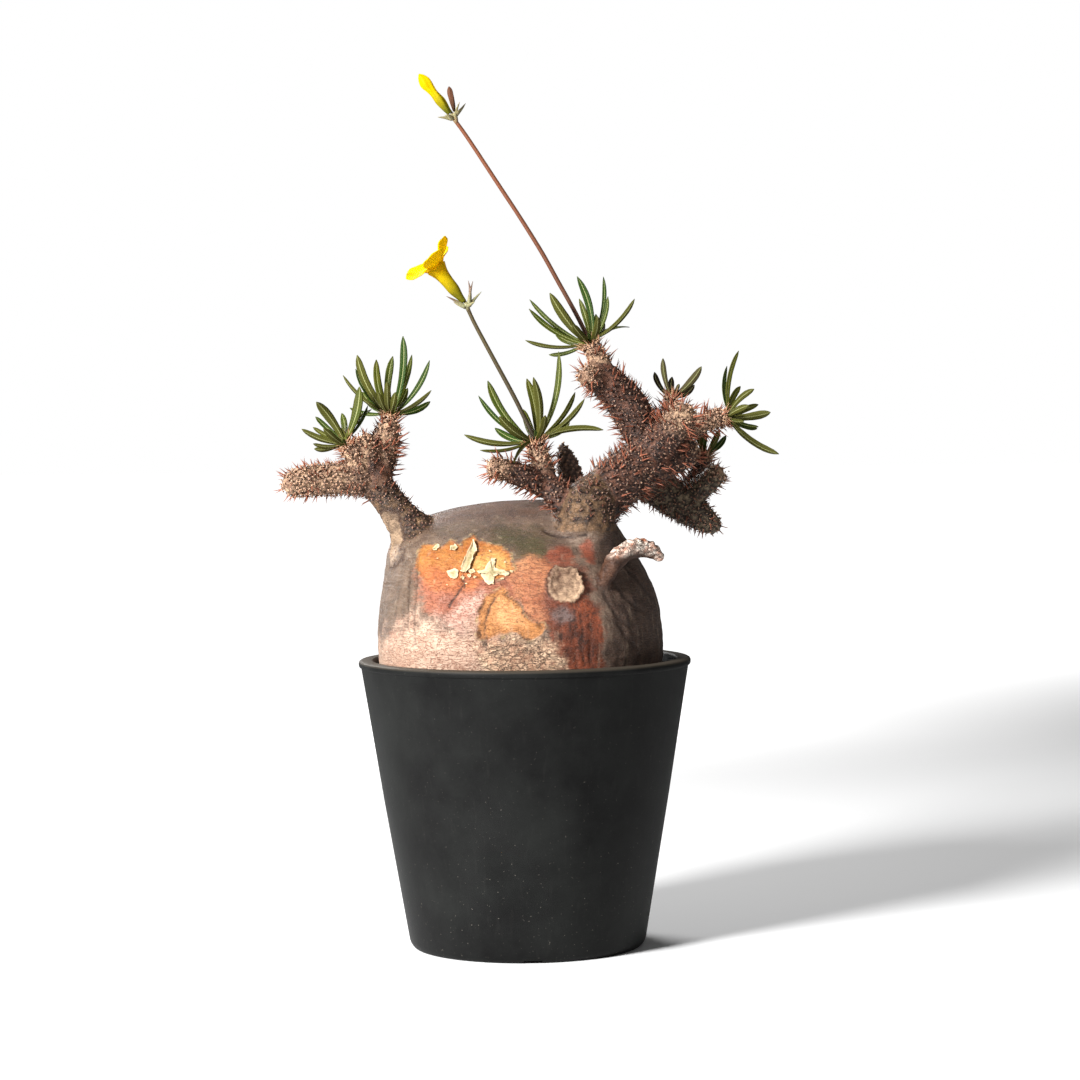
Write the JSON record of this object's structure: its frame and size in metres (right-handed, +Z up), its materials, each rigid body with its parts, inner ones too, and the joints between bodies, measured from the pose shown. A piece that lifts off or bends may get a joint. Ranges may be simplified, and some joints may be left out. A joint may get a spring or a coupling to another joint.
{
  "type": "potted succulent",
  "caption": "Swollen-stemmed succulent with short spiny branches, narrow leaf rosettes and yellow flowers on thin stalks, in a tapered round plastic pot.",
  "frame": {"origin": "centre of the pot's flat underside, on the plane that it stands on", "axes": "+Z up; -Y is the side that shows the peeling bark, the round scar and the open flower; +X is towards the branch group that carries the tall flower stalk's rosette"},
  "size_m": [0.2246, 0.15, 0.3925],
  "materials": {
    "pot_plastic": "satin",
    "soil_mix": "matte",
    "bark": "matte",
    "leaf": "satin",
    "stalk": "satin",
    "petal": "satin",
    "small_bud": "matte"
  },
  "bodies": {
    "root": {"pot": "pot_plastic", "soil": "soil_mix", "plant_body": "bark", "leaves_west_upper": "leaf", "leaves_west_lower": "leaf", "leaves_centre": "leaf", "leaves_top": "leaf", "leaves_back": "leaf", "leaves_east": "leaf", "leaves_low": "leaf", "stalk_tall": "stalk", "stalk_short": "stalk", "flower_open": "petal", "bud_large": "petal", "bud_small": "small_bud"}
  },
  "joints": []
}
